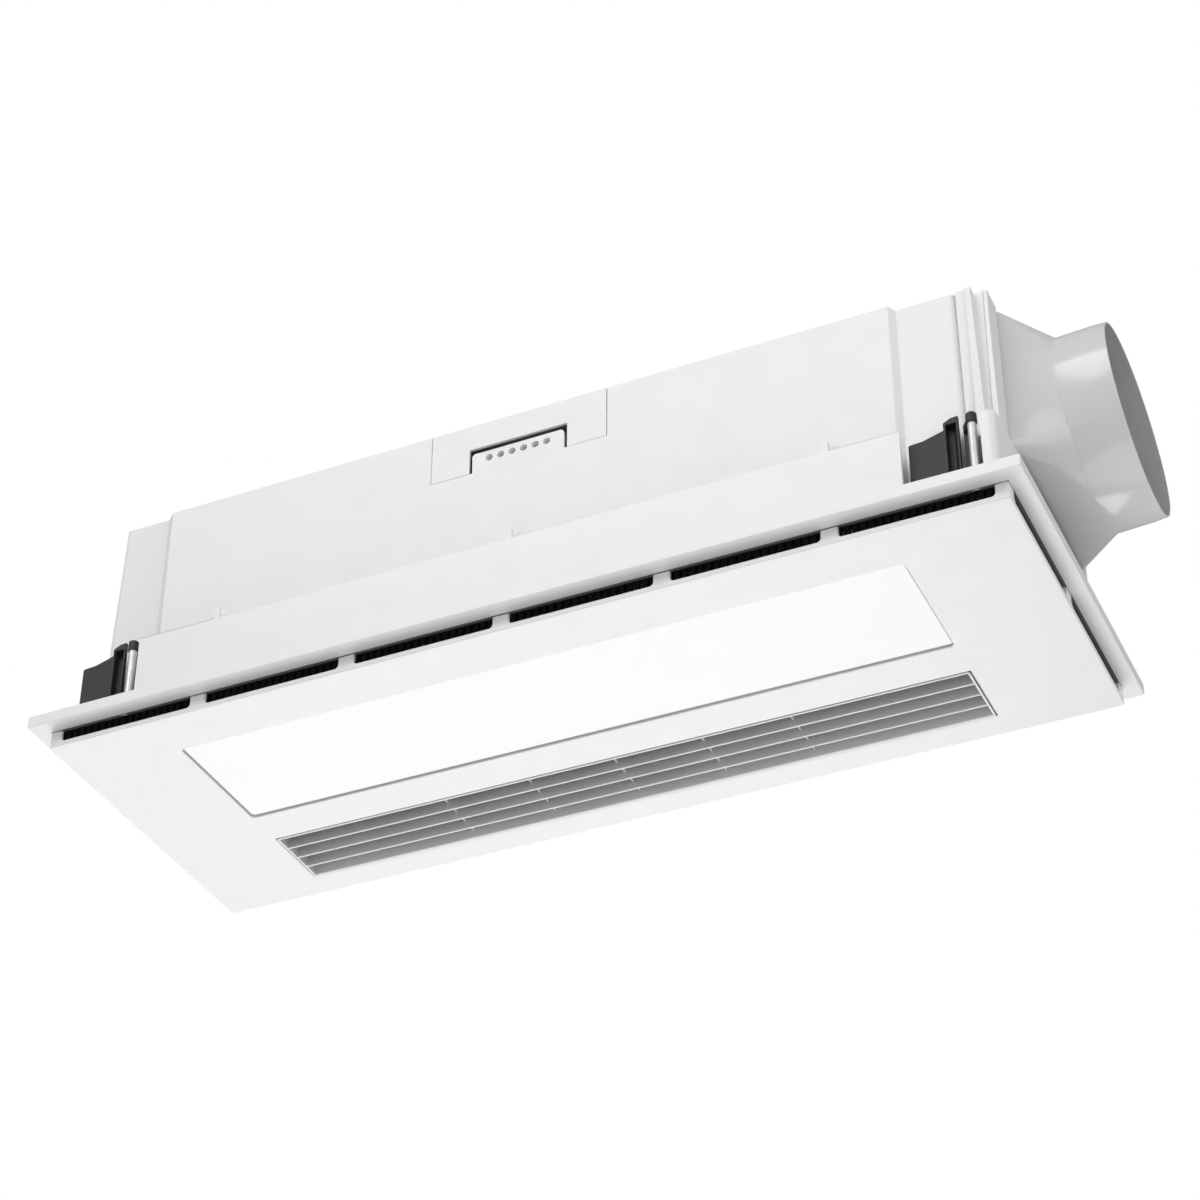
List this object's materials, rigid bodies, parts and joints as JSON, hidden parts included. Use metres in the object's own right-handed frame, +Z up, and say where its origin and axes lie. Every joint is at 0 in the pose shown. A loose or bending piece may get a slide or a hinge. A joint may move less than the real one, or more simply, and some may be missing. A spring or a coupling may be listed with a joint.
{
  "type": "bathroom heater fan light",
  "caption": "Ceiling-recessed bathroom heater with extractor fan and light: flat fascia with lit panel and louvred outlet, clamped frame, box housing and round duct spigot.",
  "frame": {"origin": "centre of the flange's top face, the plane that seats on the ceiling", "axes": "+X along the unit towards the duct spigot, -Y the front with the wiring cover, +Z up into the ceiling"},
  "size_m": [0.6972, 0.25, 0.1841],
  "materials": {
    "white_frame_plastic": "satin moulded ABS",
    "white_panel_plastic": "satin moulded ABS",
    "dark_guard_plastic": "matt black moulded",
    "opal_diffuser": "opal acrylic, lit from behind",
    "white_grille_plastic": "satin moulded heat-resistant plastic",
    "white_housing_plastic": "satin moulded ABS",
    "white_duct_plastic": "glossy moulded ABS",
    "grey_flap_plastic": "thin moulded polypropylene",
    "grey_fan_plastic": "moulded ABS",
    "black_clamp_plastic": "glass-filled nylon",
    "black_part_plastic": "matt phenolic",
    "brown_heatproof_plastic": "heat-resistant moulding",
    "natural_nylon": "natural nylon",
    "zinc_steel": "zinc plated",
    "steel_shaft": "ground steel",
    "core_steel": "stacked core sheet",
    "brass": "turned",
    "galvanised_sheet": "galvanised",
    "white_painted_sheet": "white reflector paint",
    "bare_aluminium": "bare sheet",
    "black_rubber": "soft moulded",
    "white_board": "white solder mask",
    "green_board": "green solder mask",
    "yellow_chip": "phosphor window"
  },
  "bodies": {
    "unit": {"mounting_frame": "white_frame_plastic", "face_panel": "white_panel_plastic", "intake_guards": "dark_guard_plastic", "light_diffuser": "opal_diffuser", "outlet_grille": "white_grille_plastic", "housing_shell": "white_housing_plastic", "housing_screws": "zinc_steel", "wiring_cover": "white_housing_plastic", "cover_screws": "zinc_steel", "terminal_block": "natural_nylon", "terminal_screws": "brass", "outlet_frame": "white_housing_plastic", "outlet_frame_screws": "zinc_steel", "duct_adapter": "white_duct_plastic", "flap_pin": "steel_shaft", "clamp_screws": "zinc_steel", "clamp_brackets": "black_clamp_plastic", "exhaust_scroll": "grey_fan_plastic", "exhaust_scroll_lid": "grey_fan_plastic", "fan_posts": "grey_fan_plastic", "exhaust_motor_case": "zinc_steel", "exhaust_motor_stator": "core_steel", "exhaust_bearings": "steel_shaft", "heater_blower_casing": "galvanised_sheet", "heater_bearing": "black_rubber", "heater_motor_case": "zinc_steel", "heater_motor_stator": "core_steel", "heater_frame": "brown_heatproof_plastic", "ptc_fin_blocks": "bare_aluminium", "ptc_element_bars": "bare_aluminium", "heater_plenum": "galvanised_sheet", "thermal_cutout": "black_part_plastic", "thermal_fuse": "natural_nylon", "led_tray": "white_painted_sheet", "led_tray_screws": "zinc_steel", "led_boards": "white_board", "led_chips": "yellow_chip", "led_driver": "black_part_plastic", "control_board": "green_board", "board_spacers": "natural_nylon", "board_relays": "black_part_plastic", "fan_capacitor": "black_part_plastic"},
    "exhaust_wheel": {"exhaust_impeller": "grey_flap_plastic", "impeller_nut": "brass", "exhaust_motor_rotor": "steel_shaft"},
    "heater_wheel": {"heater_blower_wheel": "bare_aluminium", "heater_motor_rotor": "steel_shaft"},
    "flap": {"backdraft_flap": "grey_flap_plastic"},
    "nut_front_left": {"clamp_nut_front_left": "zinc_steel"},
    "nut_front_right": {"clamp_nut_front_right": "zinc_steel"},
    "nut_rear_right": {"clamp_nut_rear_right": "zinc_steel"},
    "nut_rear_left": {"clamp_nut_rear_left": "zinc_steel"},
    "arm_front_left": {"clamp_arm_front_left": "black_clamp_plastic"},
    "arm_front_right": {"clamp_arm_front_right": "black_clamp_plastic"},
    "arm_rear_right": {"clamp_arm_rear_right": "black_clamp_plastic"},
    "arm_rear_left": {"clamp_arm_rear_left": "black_clamp_plastic"}
  },
  "joints": [
    {"name": "exhaust_fan_spin", "type": "hinge", "parent": "unit", "child": "exhaust_wheel", "pos_m": [0.178, 0.01, 0.14], "axis": [0, 0, 1], "continuous": true},
    {"name": "heater_fan_spin", "type": "hinge", "parent": "unit", "child": "heater_wheel", "pos_m": [0, 0.058, 0.08], "axis": [1, 0, 0], "continuous": true},
    {"name": "flap_swing", "type": "hinge", "parent": "unit", "child": "flap", "pos_m": [0.3047, 0, 0.131], "axis": [0, -1, 0], "range_deg": [0, 72]},
    {"name": "nut_travel_front_left", "type": "slide", "parent": "unit", "child": "nut_front_left", "axis": [0, 0, 1], "range_m": [0, 0.025]},
    {"name": "nut_travel_front_right", "type": "slide", "parent": "unit", "child": "nut_front_right", "axis": [0, 0, 1], "range_m": [0, 0.025]},
    {"name": "nut_travel_rear_right", "type": "slide", "parent": "unit", "child": "nut_rear_right", "axis": [0, 0, 1], "range_m": [0, 0.025]},
    {"name": "nut_travel_rear_left", "type": "slide", "parent": "unit", "child": "nut_rear_left", "axis": [0, 0, 1], "range_m": [0, 0.025]},
    {"name": "arm_swing_front_left", "type": "hinge", "parent": "nut_front_left", "child": "arm_front_left", "pos_m": [-0.263, -0.109, 0.005], "axis": [0, 0, 1], "range_deg": [0, 90]},
    {"name": "arm_swing_front_right", "type": "hinge", "parent": "nut_front_right", "child": "arm_front_right", "pos_m": [0.2951, -0.109, 0.005], "axis": [0, 0, 1], "range_deg": [0, 90]},
    {"name": "arm_swing_rear_right", "type": "hinge", "parent": "nut_rear_right", "child": "arm_rear_right", "pos_m": [0.263, 0.109, 0.005], "axis": [0, 0, 1], "range_deg": [0, 90]},
    {"name": "arm_swing_rear_left", "type": "hinge", "parent": "nut_rear_left", "child": "arm_rear_left", "pos_m": [-0.2951, 0.109, 0.005], "axis": [0, 0, 1], "range_deg": [0, 90]}
  ]
}
